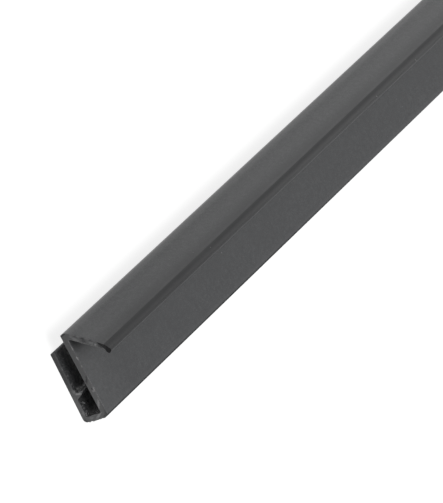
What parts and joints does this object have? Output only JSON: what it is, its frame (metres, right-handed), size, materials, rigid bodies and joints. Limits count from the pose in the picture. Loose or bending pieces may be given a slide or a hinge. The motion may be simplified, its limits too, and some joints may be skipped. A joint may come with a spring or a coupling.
{
  "type": "pvc profile",
  "caption": "Straight length of rigid PVC edge trim: a clip channel with an inner barb, one tall side, and a sloping lip that curls down at its edge.",
  "frame": {"origin": "centre of the footprint, on the plane that the short leg's outer face lies on", "axes": "+X along the length, -Y up the web towards the lip, +Z out of the short leg's back through the channel towards the web and lip"},
  "size_m": [1, 0.0298, 0.0219],
  "materials": {
    "rigid_pvc": "satin anthracite grey, sawn matt at the ends, darker along the curled edge of the lip"
  },
  "bodies": {
    "root": {"pvc_profile": "rigid_pvc"}
  },
  "joints": []
}
